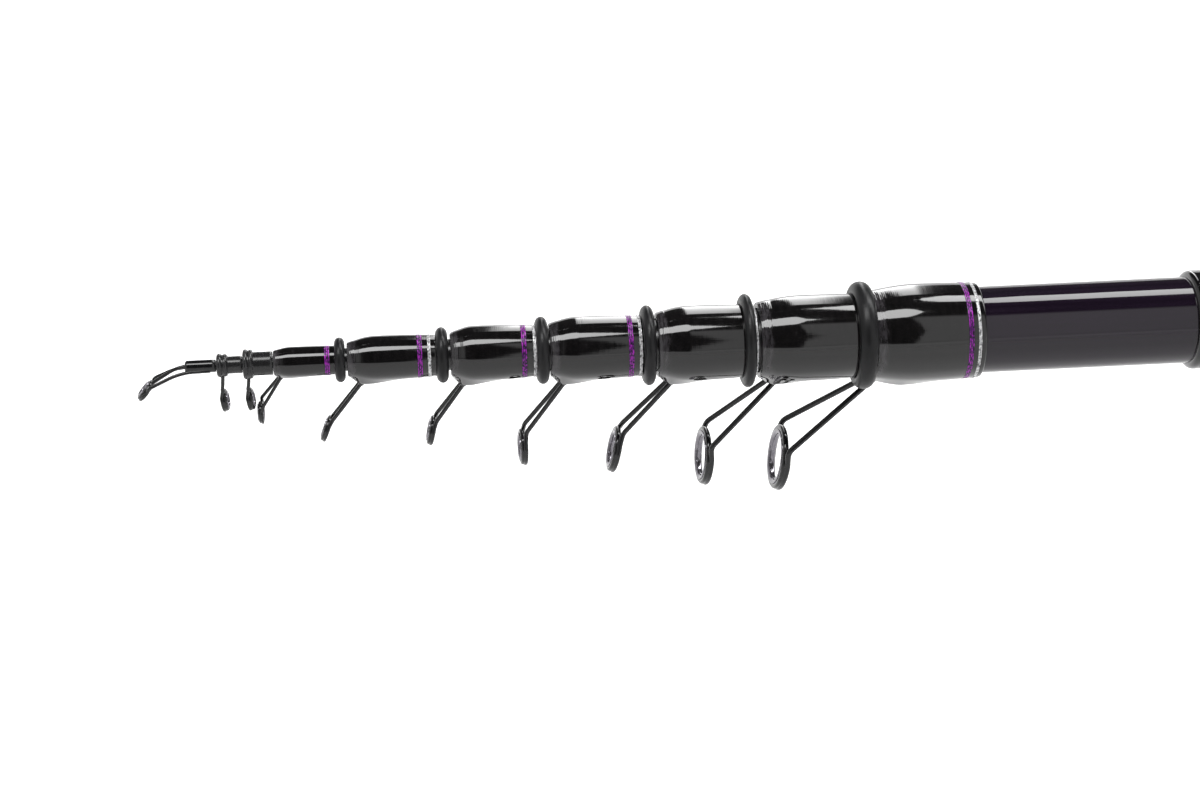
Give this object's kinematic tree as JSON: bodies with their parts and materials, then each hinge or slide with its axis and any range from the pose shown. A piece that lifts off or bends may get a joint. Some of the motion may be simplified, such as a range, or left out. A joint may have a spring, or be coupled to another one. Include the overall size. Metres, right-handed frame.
{
  "type": "telescopic fishing rod",
  "caption": "Closed telescopic fishing rod: nested tapered blanks with lacquered wraps and wire line guides, sliding tip guides, plate reel seat, grip and screw-in butt cap.",
  "frame": {"origin": "centre of the butt pad's end face, on the rod's axis", "axes": "+X along the rod towards the butt end, so the tip points to -X; the line guides and the reel seat hang towards -Z; metres"},
  "size_m": [0.7753, 0.0238, 0.0507],
  "materials": {
    "blank": "dark violet-grey fibre tube under clear coat",
    "inner_blank": "dark fibre tube under clear coat",
    "lacquer": "black thread under thick gloss lacquer",
    "trim_thread": "metallic purple thread with a silver braid, lacquered",
    "guide_metal": "gloss gun-metal plating on steel wire",
    "guide_insert": "polished dark ceramic",
    "slider_tube": "gloss black moulded tube",
    "bumper_rubber": "matt dark rubber",
    "seat_plastic": "satin black moulded plastic",
    "hood_metal": "satin dark grey metal",
    "pin_steel": "bright steel",
    "grip_rubber": "textured black shrink sleeve",
    "insert_metal": "turned",
    "cap_metal": "black satin",
    "pad_rubber": "matt"
  },
  "bodies": {
    "butt": {"section_8_blank": "blank", "section_8_wrap": "lacquer", "section_8_bands": "trim_thread", "section_8_guide_frame": "guide_metal", "section_8_guide_ring": "guide_insert", "seat_base": "seat_plastic", "fixed_hood": "hood_metal", "seat_whippings": "lacquer", "grip": "grip_rubber", "butt_insert": "insert_metal"},
    "section_7": {"section_7_blank": "inner_blank", "section_7_wrap": "lacquer", "section_7_bands": "trim_thread", "section_7_guide_frame": "guide_metal", "section_7_guide_ring": "guide_insert", "section_7_bumper": "bumper_rubber"},
    "section_6": {"section_6_blank": "inner_blank", "section_6_wrap": "lacquer", "section_6_bands": "trim_thread", "section_6_guide_frame": "guide_metal", "section_6_guide_ring": "guide_insert", "section_6_bumper": "bumper_rubber"},
    "section_5": {"section_5_blank": "inner_blank", "section_5_wrap": "lacquer", "section_5_bands": "trim_thread", "section_5_guide_frame": "guide_metal", "section_5_guide_ring": "guide_insert", "section_5_bumper": "bumper_rubber"},
    "section_4": {"section_4_blank": "inner_blank", "section_4_wrap": "lacquer", "section_4_bands": "trim_thread", "section_4_guide_frame": "guide_metal", "section_4_guide_ring": "guide_insert", "section_4_bumper": "bumper_rubber"},
    "section_3": {"section_3_blank": "inner_blank", "section_3_wrap": "lacquer", "section_3_bands": "trim_thread", "section_3_guide_frame": "guide_metal", "section_3_guide_ring": "guide_insert", "section_3_bumper": "bumper_rubber"},
    "section_2": {"section_2_blank": "inner_blank", "section_2_wrap": "lacquer", "section_2_bands": "trim_thread", "section_2_guide_frame": "guide_metal", "section_2_guide_ring": "guide_insert", "section_2_bumper": "bumper_rubber"},
    "tip": {"tip_blank": "inner_blank", "tip_top_frame": "guide_metal", "tip_top_ring": "guide_insert"},
    "slider_1": {"slider_1_sleeve": "slider_tube", "slider_1_frame": "guide_metal", "slider_1_ring": "guide_insert"},
    "slider_2": {"slider_2_sleeve": "slider_tube", "slider_2_frame": "guide_metal", "slider_2_ring": "guide_insert"},
    "seat_hood": {"slide_hood": "hood_metal", "lever_pin": "pin_steel"},
    "seat_lever": {"lock_lever": "seat_plastic"},
    "butt_cap": {"butt_cap": "cap_metal", "butt_pad": "pad_rubber"}
  },
  "joints": [
    {"name": "section_7_slide", "type": "slide", "parent": "butt", "child": "section_7", "axis": [-1, 0, 0], "range_m": [0, 0.519]},
    {"name": "section_6_slide", "type": "slide", "parent": "section_7", "child": "section_6", "axis": [-1, 0, 0], "range_m": [0, 0.539]},
    {"name": "section_5_slide", "type": "slide", "parent": "section_6", "child": "section_5", "axis": [-1, 0, 0], "range_m": [0, 0.55642]},
    {"name": "section_4_slide", "type": "slide", "parent": "section_5", "child": "section_4", "axis": [-1, 0, 0], "range_m": [0, 0.57506]},
    {"name": "section_3_slide", "type": "slide", "parent": "section_4", "child": "section_3", "axis": [-1, 0, 0], "range_m": [0, 0.59182]},
    {"name": "section_2_slide", "type": "slide", "parent": "section_3", "child": "section_2", "axis": [-1, 0, 0], "range_m": [0, 0.6093]},
    {"name": "tip_slide", "type": "slide", "parent": "section_2", "child": "tip", "axis": [-1, 0, 0], "range_m": [0, 0.6203]},
    {"name": "slider_1_slide", "type": "slide", "parent": "section_2", "child": "slider_1", "axis": [-1, 0, 0], "range_m": [0, 0.41363]},
    {"name": "slider_2_slide", "type": "slide", "parent": "section_2", "child": "slider_2", "axis": [-1, 0, 0], "range_m": [0, 0.20686]},
    {"name": "hood_slide", "type": "slide", "parent": "butt", "child": "seat_hood", "axis": [1, 0, 0], "range_m": [-0.0377, 0.0057]},
    {"name": "lever_hinge", "type": "hinge", "parent": "seat_hood", "child": "seat_lever", "pos_m": [-0.4446, 0, -0.01657], "axis": [0, 1, 0], "range_deg": [0, 95]},
    {"name": "cap_slide", "type": "slide", "parent": "butt", "child": "butt_cap", "axis": [1, 0, 0], "range_m": [0, 0.03]}
  ],
  "couplings": [
    {"joint": "slider_1_slide", "follows": "tip_slide", "ratio": 0.66667},
    {"joint": "slider_2_slide", "follows": "tip_slide", "ratio": 0.33333}
  ]
}
